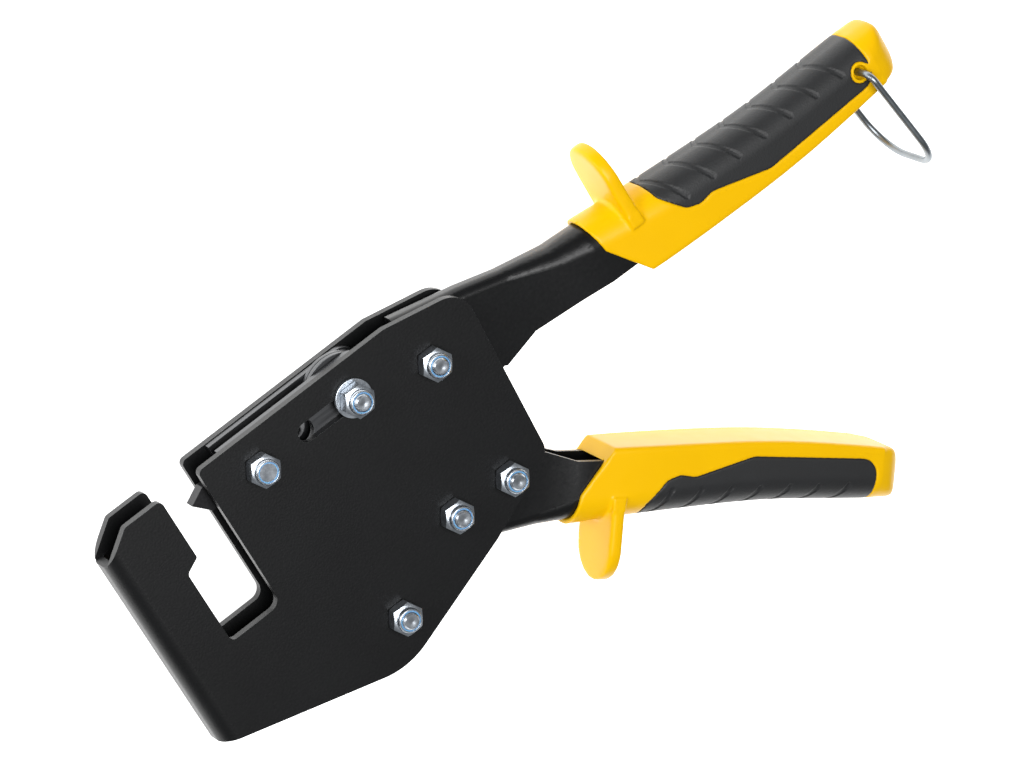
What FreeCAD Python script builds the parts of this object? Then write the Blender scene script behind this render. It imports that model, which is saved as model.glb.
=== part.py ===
import FreeCAD, Part
import math
import os
import re
import Sketcher

# A one-hand section-setting plier, lying flat on its side with the nuts up.
# A folded steel head carries a slide with a pointed punch. The upper handle is a lever that
# pushes the slide through a knee and a pair of links; the lower handle is bolted to the head.
# Design axes, before the whole is shifted onto its origin: the pivot bolt is at x = 0, y = 0,
# +X runs back along the slide towards the handles, +Y is the side of the lever,
# z = 0 is the middle plane of the sheet-metal head. Sizes are in millimetres and degrees.

SIZES = (
    # origin: the point under the middle of the tool's bounding box, seen from the pivot
    ("origin_x", 33.0), ("origin_y", -60.39), ("origin_z", -19.2),
    # head: one folded sheet, two cheeks joined by a bend along the front
    ("sheet", 3.0), ("head_gap", 10.5), ("head_bend", 6.0), ("head_front", -124.0),
    ("head_top", 19.5), ("head_rear", 21.0), ("head_rear_low", 17.6), ("head_heel", -50.5),
    ("shoulder_x", -8.0), ("shoulder_y", 13.8), ("shoulder_round", 9.0),
    ("belly_x", -12.0), ("belly_y", -64.4), ("chin_x", -59.5), ("chin_y", -81.3),
    ("chin_round", 28.0), ("toe_y", -62.0), ("heel_round", 6.0),
    # jaw and throat
    ("jaw_tip_x", -112.5), ("jaw_shoulder_y", 10.8), ("jaw_face", -98.2), ("jaw_step_y", -3.8),
    ("jaw_step", 5.5), ("throat_rear", -83.5), ("throat_floor", -34.7), ("throat_round", 4.0),
    # slide: line of travel, rest place of its bolt and the stroke
    ("slide_line", 7.3), ("slide_rest", -28.3), ("stroke", 18.0), ("slot_width", 6.6),
    ("slot_play", 0.3), ("guide_x", -65.7),
    ("bar_thick", 2.8), ("bar_play", 0.1), ("bar_half_height", 11.9), ("bar_front", -79.0),
    ("bar_step_x", -74.0), ("bar_step_y", 6.0), ("bar_rear", -16.5), ("bar_round", 6.0),
    ("punch_tip", -89.6), ("punch_rear", -71.6), ("punch_half_height", 4.4),
    ("punch_drop", 1.2), ("punch_grind_top", 6.0), ("punch_grind_low", 5.0),
    ("rivet_radius", 1.2), ("rivet_pitch", 4.6), ("rivet_back", 3.2),
    # bolts through the head
    ("bolt_radius", 3.0), ("across_flats", 10.0), ("head_high", 4.0), ("nut_high", 4.7),
    ("collar_radius", 4.2), ("collar_high", 1.9), ("insert_radius", 3.7), ("insert_high", 1.4),
    ("bolt_past_nut", 0.9), ("guide_bolt_short", 1.3), ("washer_radius", 6.5),
    ("washer_thick", 1.5), ("slide_play", 0.1),
    ("spacer_radius", 4.5), ("rear_upper_x", 2.1), ("rear_upper_y", -49.3),
    ("rear_lower_x", -20.0), ("rear_lower_y", -47.6), ("chin_bolt_x", -52.4),
    ("chin_bolt_y", -65.0),
    # knee: lever arm, pin and links
    ("knee_radius", 22.0), ("knee_angle", 248.0), ("knee_pin_radius", 2.5),
    ("knee_lobe", 7.0), ("link_thick", 1.9), ("link_gap", 0.3),
    ("link_slide_lobe", 13.5), ("link_knee_lobe", 5.8), ("link_knee_hole", 3.8),
    # pivot: bush between the cheeks, lever turns on it
    ("bush_radius", 5.0), ("running_play", 0.05),
    # return spring on the bush
    ("spring_wire", 1.4), ("coil_mean", 6.3), ("coil_pitch", 1.5), ("coil_turns", 3),
    ("press_leg", 26.0), ("press_angle", -29.5), ("rest_leg", 50.0), ("rest_angle", -74.0),
    # arms: folded channels
    ("arm_sheet", 2.0), ("arm_width", 10.0), ("arm_flare", 18.0), ("arm_round", 4.0),
    ("arm_round_grip", 8.4), ("arm_end", 62.0),
    # grips, in their own axes: a along the handle, o outwards from the flat inner face
    ("lever_grip_x", 83.5), ("lever_grip_y", -21.0), ("fixed_grip_x", 40.2),
    ("fixed_grip_y", -66.8), ("fixed_grip_angle", -36.4),
    ("grip_length", 106.5), ("grip_width", 24.0), ("collar_width", 21.0),
    ("collar_front", -19.0), ("collar_high_o", 26.6), ("mouth_a", -15.0), ("mouth_o", 15.0),
    ("mouth_low", -4.5), ("grip_root", 23.7), ("grip_waist", 20.0), ("grip_tail", 20.6),
    ("grip_belly", 1.6), ("grip_heel", 1.6), ("grip_end_round", 10.0),
    ("grip_end_low", 6.5), ("grip_end_high", 15.5), ("grip_nose_round", 6.0),
    ("pad_thick", 1.8),
    ("fin_a", -1.5), ("fin_thick", 4.8), ("fin_top", 46.0), ("fin_width", 24.0),
    # bail: wire loop at the end of the lever's grip
    ("eye_a", 90.8), ("eye_o", 10.8), ("bail_wire", 2.4), ("bail_spread", 36.0),
    ("bail_length", 42.5), ("bail_elbow", 3.0), ("bail_round", 13.0), ("bail_angle", -81.0),
    ("bail_reach_in", 6.0), ("eye_play", 0.06), ("eye_mouth", 2.4), ("eye_ring", 3.6),
    ("eye_mouth_deep", 2.0),
)

doc = FreeCAD.newDocument("SectionPlier")
sheet = doc.addObject("Spreadsheet::Sheet", "Sizes")
for row, (alias, value) in enumerate(SIZES, start=1):
    sheet.set(f"A{row}", alias)
    sheet.set(f"B{row}", str(value))
    sheet.setAlias(f"B{row}", alias)
doc.recompute()

X, Y, Z = FreeCAD.Vector(1, 0, 0), FreeCAD.Vector(0, 1, 0), FreeCAD.Vector(0, 0, 1)
ALIASES = {alias for alias, _ in SIZES}
subparts = []


def cell(expression):
    """Write an expression with the sheet's name before each alias in it."""
    return re.sub(
        r"[a-z_]+", lambda m: "Sizes." + m[0] if m[0] in ALIASES else m[0], expression)


probe = doc.addObject("App::FeaturePython", "Probe")
probe.addProperty("App::PropertyFloat", "Number")


def number(expression):
    """Value of an expression of sheet names, as the document works it out."""
    probe.setExpression("Number", cell(expression))
    probe.recompute()
    return probe.Number


def bind(thing, prop, expression):
    """Tie a property of an object to an expression of sheet names."""
    thing.setExpression(prop, cell(expression))


def put(thing, x="0", y="0", z="0"):
    """Tie the place of an object to three expressions."""
    bind(thing, "Placement.Base.x", x)
    bind(thing, "Placement.Base.y", y)
    bind(thing, "Placement.Base.z", z)
    return thing


def subpart(thing, label, x="0", y="0", turn="0"):
    """Name a finished piece and shift it from its drawing axes onto the part's origin.

    Pieces of the fixed handle are drawn in its own axes and turned over onto its line.
    """
    thing.Label = label
    flip = "180" if turn == "fixed_grip_angle" else "0"
    place = f"vector({x} - origin_x; {y} - origin_y; -origin_z)"
    bind(thing, "Placement", f"placement({place}; rotationz({turn}) * rotationx({flip}))")
    subparts.append(thing)
    return thing


# ---- simple solids ------------------------------------------------------------------------

def rod(name, radius, low, high, x="0", y="0"):
    """Cylinder along Z between two heights."""
    solid = doc.addObject("Part::Cylinder", name)
    bind(solid, "Radius", radius)
    bind(solid, "Height", f"({high}) - ({low})")
    return put(solid, x, y, low)


def hexagon(name, low, high, x="0", y="0"):
    """Hexagonal prism along Z, of the fasteners' width across flats."""
    solid = doc.addObject("Part::Prism", name)
    solid.Polygon = 6
    bind(solid, "Circumradius", "across_flats / sqrt(3)")
    bind(solid, "Height", f"({high}) - ({low})")
    return put(solid, x, y, low)


def fuse(name, *solids):
    """One solid from several that meet."""
    joined = doc.addObject("Part::MultiFuse", name)
    joined.Shapes = list(solids)
    joined.Refine = True
    return joined


def cut(name, base, *tools):
    """A base with tools taken away from it."""
    tool = tools[0] if len(tools) == 1 else fuse(name + "Tools", *tools)
    result = doc.addObject("Part::Cut", name)
    result.Base, result.Tool = base, tool
    return result


def common(name, *solids):
    """What several solids share."""
    shared = doc.addObject("Part::MultiCommon", name)
    shared.Shapes = list(solids)
    return shared


def group(name, *solids):
    """Like pieces that share one node."""
    compound = doc.addObject("Part::Compound", name)
    compound.Links = list(solids)
    return compound


# ---- sheet-metal and moulded outlines -----------------------------------------------------

def plane(body, role):
    """One of a body's own origin planes, found by its role."""
    return next(f for f in body.Origin.OriginFeatures if f.Role == role)


def start_sketch(body, name, role="XY_Plane", height="0"):
    """Sketch on a body's own plane, raised by a tied offset."""
    sketch = body.newObject("Sketcher::SketchObject", name)
    sketch.AttachmentSupport = [(plane(body, role), "")]
    sketch.MapMode = "FlatFace"
    bind(sketch, "AttachmentOffset.Base.z", height)
    return sketch


def fix_point(sketch, geometry, end, x, y, name):
    """Tie a sketch point's distances from the origin to two expressions."""
    for axis, expression in (("X", x), ("Y", y)):
        value = number(expression)
        constraint = Sketcher.Constraint("Distance" + axis, -1, 1, geometry, end, value)
        index = sketch.addConstraint(constraint)
        sketch.renameConstraint(index, name + axis)
        bind(sketch, f"Constraints.{name}{axis}", expression)


def draw_outline(sketch, corners):
    """Closed run of straight lines through corners, each tied to two expressions."""
    points = [FreeCAD.Vector(number(x), number(y), 0) for x, y in corners]
    first = sketch.GeometryCount
    count = len(points)
    for k in range(count):
        sketch.addGeometry(Part.LineSegment(points[k], points[(k + 1) % count]), False)
    for k in range(count):
        following = first + (k + 1) % count
        sketch.addConstraint(Sketcher.Constraint("Coincident", first + k, 2, following, 1))
    for k, (x, y) in enumerate(corners):
        fix_point(sketch, first + k, 1, x, y, f"P{first + k}")


def draw_circle(sketch, x, y, radius):
    """Circle tied to three expressions."""
    centre = FreeCAD.Vector(number(x), number(y), 0)
    index = sketch.addGeometry(Part.Circle(centre, Z, number(radius)), False)
    fix_point(sketch, index, 3, x, y, f"C{index}")
    size = sketch.addConstraint(Sketcher.Constraint("Radius", index, number(radius)))
    sketch.renameConstraint(size, f"R{index}")
    bind(sketch, f"Constraints.R{index}", radius)


def draw_slot(sketch, left, right, y, radius):
    """Slot along X between two end centres, with ends of one radius."""
    x_left, x_right = number(left), number(right)
    middle, r = number(y), number(radius)
    vector = FreeCAD.Vector
    quarter = math.pi / 2
    first = sketch.addGeometry(
        Part.ArcOfCircle(Part.Circle(vector(x_left, middle, 0), Z, r), quarter, 3 * quarter),
        False)
    sketch.addGeometry(
        Part.LineSegment(vector(x_left, middle - r, 0), vector(x_right, middle - r, 0)), False)
    sketch.addGeometry(
        Part.ArcOfCircle(Part.Circle(vector(x_right, middle, 0), Z, r), -quarter, quarter),
        False)
    sketch.addGeometry(
        Part.LineSegment(vector(x_right, middle + r, 0), vector(x_left, middle + r, 0)), False)
    for k in range(4):
        following = first + (k + 1) % 4
        sketch.addConstraint(Sketcher.Constraint("Tangent", first + k, 2, following, 1))
    fix_point(sketch, first, 3, left, y, f"S{first}")
    fix_point(sketch, first + 2, 3, right, y, f"S{first + 2}")
    size = sketch.addConstraint(Sketcher.Constraint("Radius", first, r))
    sketch.renameConstraint(size, f"R{first}")
    bind(sketch, f"Constraints.R{first}", radius)


def pad(body, sketch, thickness, both_ways=False):
    """Extrude a sketch up, or both ways from its plane."""
    feature = body.newObject("PartDesign::Pad", sketch.Name + "Pad")
    feature.Profile = sketch
    feature.Midplane = both_ways
    bind(feature, "Length", thickness)
    doc.recompute()
    return feature


def pocket(body, sketch, depth):
    """Cut a sketch's shape both ways from its plane."""
    before = body.Shape.Volume
    feature = body.newObject("PartDesign::Pocket", sketch.Name + "Pocket")
    feature.Profile = sketch
    feature.Midplane = True
    bind(feature, "Length", depth)
    doc.recompute()
    if body.Shape.Volume >= before:
        raise RuntimeError(f"{sketch.Name} cuts nothing")
    return feature


def round_edges(body, name, radius, wanted):
    """Fillet the edges of a body's last feature that a test picks out."""
    base = body.Tip
    picked = [f"Edge{k}" for k, edge in enumerate(base.Shape.Edges, 1) if wanted(edge)]
    if not picked:
        raise RuntimeError(f"{name} finds no edge")
    fillet = body.newObject("PartDesign::Fillet", name)
    fillet.Base = (base, picked)
    bind(fillet, "Radius", radius)
    doc.recompute()
    return fillet


def upright_at(x, y):
    """Test for an edge along Z at a place in plan."""
    place = FreeCAD.Vector(number(x), number(y), 0)

    def test(edge):
        ends = [v.Point for v in edge.Vertexes]
        return (len(ends) == 2 and abs((ends[1] - ends[0]).normalize().z) > 0.999
                and (FreeCAD.Vector(ends[0].x, ends[0].y, 0) - place).Length < 0.05)
    return test


def plate(name, corners, low, high, rounds=(), holes=(), slots=()):
    """Flat piece between two heights: outline, rounded corners, round holes and slots."""
    body = doc.addObject("PartDesign::Body", name)
    outline = start_sketch(body, name + "Outline", height=low)
    draw_outline(outline, corners)
    pad(body, outline, f"({high}) - ({low})")
    for k, (corner, radius) in enumerate(rounds):
        round_edges(body, f"{name}Round{k}", radius, upright_at(*corners[corner]))
    if holes or slots:
        openings = start_sketch(body, name + "Openings", height=low)
        for hole in holes:
            draw_circle(openings, *hole)
        for slot in slots:
            draw_slot(openings, *slot)
        pocket(body, openings, "4 * head_gap + 8 * sheet")
    return body


# ---- head ---------------------------------------------------------------------------------

FACE = "(head_gap / 2 + sheet)"
SLIDE_SPOT = ("slide_rest", "slide_line")
GUIDE_SPOT = ("guide_x", "slide_line")
REAR_UPPER = ("rear_upper_x", "rear_upper_y")
REAR_LOWER = ("rear_lower_x", "rear_lower_y")
CHIN_BOLT = ("chin_bolt_x", "chin_bolt_y")
PLAIN_BOLTS = (REAR_UPPER, REAR_LOWER, CHIN_BOLT)
BEYOND = "300"


def make_head():
    """Folded head: two cheeks with the throat cut through both, joined by the front bend."""
    corners = [
        ("head_front", "toe_y"), ("chin_x", "chin_y"), ("belly_x", "belly_y"),
        ("head_rear_low", "head_heel"), ("head_rear", "shoulder_y"),
        ("shoulder_x", "head_top"), ("throat_rear", "head_top"),
        ("throat_rear", "throat_floor"), ("jaw_face - jaw_step", "throat_floor"),
        ("jaw_face - jaw_step", "jaw_step_y - jaw_step / 2"), ("jaw_face", "jaw_step_y"),
        ("jaw_face", "head_top"), ("jaw_tip_x", "head_top"),
        ("head_front", "jaw_shoulder_y"),
    ]
    body = doc.addObject("PartDesign::Body", "Head")
    folded = start_sketch(body, "HeadFold", role="XZ_Plane")
    draw_outline(folded, [
        (BEYOND, FACE), ("head_front", FACE), ("head_front", f"-{FACE}"),
        (BEYOND, f"-{FACE}"), (BEYOND, "-head_gap / 2"),
        ("head_front + sheet", "-head_gap / 2"), ("head_front + sheet", "head_gap / 2"),
        (BEYOND, "head_gap / 2")])
    pad(body, folded, f"2 * {BEYOND}", both_ways=True)

    def along_bend(x, z):
        def test(edge):
            ends = [v.Point for v in edge.Vertexes]
            return (len(ends) == 2 and abs(ends[0].z - ends[1].z) < 0.01
                    and all(abs(p.x - number(x)) < 0.01 for p in ends)
                    and all(abs(abs(p.z) - number(z)) < 0.01 for p in ends))
        return test
    round_edges(body, "HeadBendInside", "head_bend - sheet",
                along_bend("head_front + sheet", "head_gap / 2"))
    round_edges(body, "HeadBendOutside", "head_bend", along_bend("head_front", FACE))
    around = start_sketch(body, "HeadOutline")
    far = f"2 * {BEYOND}"
    draw_outline(around, [(f"-{far}", f"-{far}"), (far, f"-{far}"), (far, far),
                          (f"-{far}", far)])
    draw_outline(around, corners)
    pocket(body, around, "head_gap + 4 * sheet")
    jaw_slot = start_sketch(body, "JawSlot")
    draw_outline(jaw_slot, [
        (f"-{far}", "jaw_shoulder_y"), ("jaw_face - 1", "jaw_shoulder_y"),
        ("jaw_face - 1", far), (f"-{far}", far)])
    pocket(body, jaw_slot, "head_gap")
    rounds = {3: "heel_round", 4: "shoulder_round", 6: "2", 7: "throat_round",
              8: "throat_round / 2", 9: "2", 10: "1", 11: "2", 12: "2", 1: "chin_round"}
    for k, radius in rounds.items():
        round_edges(body, f"HeadRound{k}", radius, upright_at(*corners[k]))
    openings = start_sketch(body, "HeadOpenings")
    for x, y in (("0", "0"), GUIDE_SPOT) + PLAIN_BOLTS:
        draw_circle(openings, x, y, "bolt_radius")
    draw_slot(openings, "slide_rest - stroke - slot_play", "slide_rest + slot_play",
              "slide_line", "slot_width / 2")
    pocket(body, openings, "4 * head_gap + 8 * sheet")
    return body


subpart(make_head(), "head_frame")


def nut(name, x, y, low):
    """Lock nut: hexagon with a round collar and a bore for the bolt."""
    flats = hexagon(name + "Flats", low, f"{low} + nut_high", x, y)
    collar_low = f"{low} + nut_high - collar_high"
    collar = rod(name + "Collar", "collar_radius", collar_low,
                 f"{low} + nut_high + collar_high", x, y)
    bore = rod(name + "Bore", "bolt_radius", low, f"{low} + nut_high + collar_high", x, y)
    seat = rod(name + "Seat", "insert_radius", f"{low} + nut_high + collar_high - insert_high",
               f"{low} + nut_high + collar_high", x, y)
    return cut(name, fuse(name + "Whole", flats, collar), bore, seat)


def insert(name, x, y, low):
    """Nylon ring held in the collar of a lock nut."""
    top = f"{low} + nut_high + collar_high"
    ring_low = f"{top} - insert_high"
    ring_high = f"{top} - 0.3"
    return cut(name, rod(name + "Disc", "insert_radius", ring_low, ring_high, x, y),
               rod(name + "Bore", "bolt_radius", ring_low, ring_high, x, y))


def bolt(name, x, y, head_top, high):
    """Hexagon-head bolt, head down, up to a given height."""
    return fuse(name, hexagon(name + "Head", f"{head_top} - head_high", head_top, x, y),
                rod(name + "Shank", "bolt_radius", f"{head_top} - head_high / 2", high, x, y))


def tube(name, outer, low, high, x, y, bore="bolt_radius"):
    """Sleeve round a bolt."""
    return cut(name, rod(name + "Outer", outer, low, high, x, y),
               rod(name + "Bore", bore, low, high, x, y))


NUT_TOP = f"{FACE} + nut_high + collar_high"
subpart(group("PlainBolts", *(
    bolt(f"PlainBolt{k}", x, y, f"-{FACE}", f"{NUT_TOP} + bolt_past_nut")
    for k, (x, y) in enumerate(PLAIN_BOLTS))), "head_bolts")
subpart(group("PlainNuts", *(
    nut(f"PlainNut{k}", x, y, FACE) for k, (x, y) in enumerate(PLAIN_BOLTS))), "head_nuts")
subpart(group("PlainInserts", *(
    insert(f"PlainInsert{k}", x, y, FACE) for k, (x, y) in enumerate(PLAIN_BOLTS))),
    "head_nut_inserts")
subpart(bolt("GuideBolt", *GUIDE_SPOT, f"-{FACE}", f"{NUT_TOP} - guide_bolt_short"),
        "guide_bolt")
subpart(nut("GuideNut", *GUIDE_SPOT, FACE), "guide_nut")
subpart(insert("GuideInsert", *GUIDE_SPOT, FACE), "guide_nut_insert")
subpart(tube("GuideSleeve", "spacer_radius", "-head_gap / 2", "head_gap / 2", *GUIDE_SPOT),
        "guide_sleeve")
subpart(tube("ChinSpacer", "spacer_radius", "-head_gap / 2", "head_gap / 2", *CHIN_BOLT),
        "chin_spacer")
subpart(bolt("PivotBolt", "0", "0", f"-{FACE}", f"{NUT_TOP} + bolt_past_nut"), "pivot_bolt")
subpart(nut("PivotNut", "0", "0", FACE), "pivot_nut")
subpart(insert("PivotInsert", "0", "0", FACE), "pivot_nut_insert")
subpart(tube("PivotBush", "bush_radius", "-head_gap / 2", "head_gap / 2", "0", "0"),
        "pivot_bush")

# ---- slide --------------------------------------------------------------------------------

BAR_HIGH = "(head_gap / 2 - bar_play)"
BAR_LOW = "(head_gap / 2 - bar_play - bar_thick)"
RIVETS = [("punch_rear - rivet_back", f"slide_line {side} rivet_pitch / 2")
          for side in ("+", "-")]


def make_bar(name, low, high):
    """One slide bar: stepped nose, rounded tail, bolt hole and the guide sleeve's slot."""
    top, bottom = "slide_line + bar_half_height", "slide_line - bar_half_height"
    corners = [
        ("bar_rear", bottom), ("bar_rear", top), ("bar_step_x", top),
        ("bar_step_x", "slide_line + bar_step_y"), ("bar_front", "slide_line + bar_step_y"),
        ("bar_front", "slide_line - bar_step_y"), ("bar_step_x", "slide_line - bar_step_y"),
        ("bar_step_x", bottom)]
    return plate(
        name, corners, low, high, rounds=((0, "bar_round"), (1, "bar_round")),
        holes=[(*SLIDE_SPOT, "bolt_radius")] + [(x, y, "rivet_radius") for x, y in RIVETS],
        slots=[("guide_x", "guide_x + stroke", "slide_line",
                "spacer_radius + running_play")])


subpart(group("SlideBars", make_bar("BarNear", BAR_LOW, BAR_HIGH),
              make_bar("BarFar", f"-{BAR_HIGH}", f"-{BAR_LOW}")), "slide_bars")


def make_punch():
    """Hardened punch between the bars' noses: a flat blade ground to one sharp point."""
    top, bottom = "slide_line + punch_half_height", "slide_line - punch_half_height"
    tip_y = "slide_line + punch_drop"
    return plate(
        "Punch",
        [("punch_rear", bottom), ("punch_rear", top),
         ("punch_tip + punch_grind_top", top), ("punch_tip", tip_y),
         ("punch_tip + punch_grind_low", bottom)],
        f"-{BAR_LOW}", BAR_LOW,
        holes=[(x, y, "rivet_radius") for x, y in RIVETS])


subpart(make_punch(), "punch")


def rivet(name, x, y):
    """Rivet flush in the outer faces of the two slide bars."""
    return rod(name, "rivet_radius", f"-{BAR_HIGH}", BAR_HIGH, x, y)


subpart(group("PunchRivets", *(rivet(f"PunchRivet{k}", x, y)
                               for k, (x, y) in enumerate(RIVETS))), "punch_rivets")
SLIDE_FACE = f"({FACE} + slide_play)"
WASHER_TOP = f"({SLIDE_FACE} + washer_thick)"
subpart(group(
    "SlideWashers",
    tube("SlideWasherNear", "washer_radius", SLIDE_FACE, WASHER_TOP, *SLIDE_SPOT),
    tube("SlideWasherFar", "washer_radius", f"-{WASHER_TOP}", f"-{SLIDE_FACE}", *SLIDE_SPOT)),
    "slide_washers")
subpart(bolt("SlideBolt", *SLIDE_SPOT, f"-{WASHER_TOP}",
             f"{WASHER_TOP} + nut_high + collar_high + bolt_past_nut"), "slide_bolt")
subpart(nut("SlideNut", *SLIDE_SPOT, WASHER_TOP), "slide_nut")
subpart(insert("SlideInsert", *SLIDE_SPOT, WASHER_TOP), "slide_nut_insert")

# ---- knee and links -----------------------------------------------------------------------

KNEE_X = "(knee_radius * cos(knee_angle))"
KNEE_Y = "(knee_radius * sin(knee_angle))"
LINK_RUN = f"({KNEE_X} - slide_rest)"
LINK_DROP = f"({KNEE_Y} - slide_line)"
LINK_LENGTH = f"sqrt({LINK_RUN} * {LINK_RUN} + {LINK_DROP} * {LINK_DROP})"


def make_link(name, low, high):
    """Link plate: a broad eye on the slide's bolt tapering to an eye round the knee pin."""
    body = doc.addObject("PartDesign::Body", name)
    outline = start_sketch(body, name + "Outline", height=low)
    start = FreeCAD.Vector(number("slide_rest"), number("slide_line"), 0)
    end = FreeCAD.Vector(number(KNEE_X), number(KNEE_Y), 0)
    big, small = number("link_slide_lobe"), number("link_knee_lobe")
    along = math.atan2(end.y - start.y, end.x - start.x)
    spread = math.acos((big - small) / (end - start).Length)
    left, right = along + spread, along - spread

    def rim(centre, radius, angle):
        return centre + FreeCAD.Vector(math.cos(angle), math.sin(angle), 0) * radius
    outline.addGeometry([
        Part.ArcOfCircle(Part.Circle(start, Z, big), left, right + 2 * math.pi),
        Part.LineSegment(rim(start, big, right), rim(end, small, right)),
        Part.ArcOfCircle(Part.Circle(end, Z, small), right, left),
        Part.LineSegment(rim(end, small, left), rim(start, big, left))], False)
    for k in range(4):
        outline.addConstraint(Sketcher.Constraint("Tangent", k, 2, (k + 1) % 4, 1))
    fix_point(outline, 0, 3, *SLIDE_SPOT, "Slide")
    fix_point(outline, 2, 3, KNEE_X, KNEE_Y, "Knee")
    for geometry, radius in ((0, "link_slide_lobe"), (2, "link_knee_lobe")):
        size = outline.addConstraint(Sketcher.Constraint("Radius", geometry, number(radius)))
        outline.renameConstraint(size, f"Lobe{geometry}")
        bind(outline, f"Constraints.Lobe{geometry}", radius)
    pad(body, outline, f"({high}) - ({low})")
    eyes = start_sketch(body, name + "Eyes", height=low)
    draw_circle(eyes, *SLIDE_SPOT, "bolt_radius + running_play")
    draw_circle(eyes, KNEE_X, KNEE_Y, "link_knee_hole")
    pocket(body, eyes, "4 * head_gap")
    return body


subpart(group("Links", make_link("LinkNear", "link_gap / 2", "link_gap / 2 + link_thick"),
              make_link("LinkFar", "-link_gap / 2 - link_thick", "-link_gap / 2")),
        "knee_links")

# ---- arms ---------------------------------------------------------------------------------

WALL_HIGH = "(arm_width / 2)"
WALL_LOW = "(arm_width / 2 - arm_sheet)"


def d_section(name, station, width, low, high, inner, outer):
    """Closed section across an arm or grip: flat on one side, rounded on the other."""
    sketch = doc.addObject("Sketcher::SketchObject", name)
    sketch.Placement.Rotation = FreeCAD.Rotation(-Z, Y, X, "ZXY")
    bind(sketch, "Placement.Base.x", station)
    half, base, top = number(width) / 2, number(low), number(high)
    vector = FreeCAD.Vector
    quarter = math.pi / 2
    turns = ((half, base, inner, -1), (half, top, outer, 0), (-half, top, outer, 1),
             (-half, base, inner, 2))
    arcs = []
    for x, y, radius, turn in turns:
        r = number(radius)
        centre = vector(x - math.copysign(r, x), y + r if y == base else y - r, 0)
        arcs.append(Part.ArcOfCircle(
            Part.Circle(centre, Z, r), turn * quarter, (turn + 1) * quarter))
    for k, arc in enumerate(arcs):
        sketch.addGeometry(arc, False)
        following = arcs[(k + 1) % 4]
        sketch.addGeometry(Part.LineSegment(arc.EndPoint, following.StartPoint), False)
    for k in range(8):
        sketch.addConstraint(Sketcher.Constraint("Tangent", k, 2, (k + 1) % 8, 1))
    for k in (1, 5):
        sketch.addConstraint(Sketcher.Constraint("Vertical", k))
    for k in (3, 7):
        sketch.addConstraint(Sketcher.Constraint("Horizontal", k))
    ties = (("DistanceX", (-1, 1, 1, 1), f"({width}) / 2"),
            ("DistanceX", (5, 1, -1, 1), f"({width}) / 2"),
            ("DistanceY", (-1, 1, 7, 1), low), ("DistanceY", (-1, 1, 3, 1), high))
    for k, (kind, points, expression) in enumerate(ties):
        value = number(expression)
        index = sketch.addConstraint(Sketcher.Constraint(kind, *points, value))
        sketch.renameConstraint(index, f"Side{k}")
        bind(sketch, f"Constraints.Side{k}", expression)
    for geometry, radius in ((0, inner), (2, outer), (4, outer), (6, inner)):
        index = sketch.addConstraint(Sketcher.Constraint("Radius", geometry, number(radius)))
        sketch.renameConstraint(index, f"Round{geometry}")
        bind(sketch, f"Constraints.Round{geometry}", radius)
    return sketch


def loft(name, sections, straight=True):
    """Solid through a row of sections."""
    solid = doc.addObject("Part::Loft", name)
    solid.Sections = sections
    solid.Solid = True
    solid.Ruled = straight
    return solid


def make_channel(name, stations):
    """Folded channel through stations of (place, width, open side, web side, bend)."""
    outer = loft(name + "Outside", [
        d_section(f"{name}Out{k}", place, width, low, high, "0.2", bend)
        for k, (place, width, low, high, bend) in enumerate(stations)])
    inner = loft(name + "Inside", [
        d_section(f"{name}In{k}", place, f"({width}) - 2 * arm_sheet", f"({low}) - 5",
                  f"({high}) - arm_sheet", "0.2", f"({bend}) - arm_sheet")
        for k, (place, width, low, high, bend) in enumerate(stations)])
    return outer, inner


LEVER_STATIONS = (
    ("-3", "arm_width", "-4", "18.3", "arm_round"),
    ("22", "arm_width", "-19", "12.6", "arm_round"),
    ("36", "arm_width", "-15.4", "8.6", "arm_round"),
    ("54", "arm_width * 0.35 + arm_flare * 0.65", "-15.8", "4.8", "6.6"),
    ("66", "arm_flare", "-16.6", "4", "arm_round_grip"),
    ("78", "arm_flare - 0.6", "-17", "2", "arm_round_grip"),
    ("lever_grip_x + 12", "arm_flare - 1", "-17.2", "-1.8", "7.6"),
    ("lever_grip_x + arm_end", "arm_flare - 2", "-17.2", "-4.4", "6"),
)
FIXED_STATIONS = (
    ("-69", "head_gap", "13", "27.5", "arm_round"),
    ("-60", "head_gap", "9", "29.8", "arm_round"),
    ("-50", "head_gap", "2.5", "30", "arm_round"),
    ("-42", "head_gap", "0.5", "29.2", "arm_round"),
    ("-27", "head_gap", "1.3", "26.4", "5"),
    ("-16.5", "arm_flare - 0.6", "4", "24.8", "8"),
    ("-6", "arm_flare - 0.6", "4", "23.2", "8"),
    ("12", "arm_flare - 1", "3.8", "19.2", "7.6"),
    ("arm_end", "arm_flare - 2", "3.8", "16.6", "6"),
)


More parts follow.
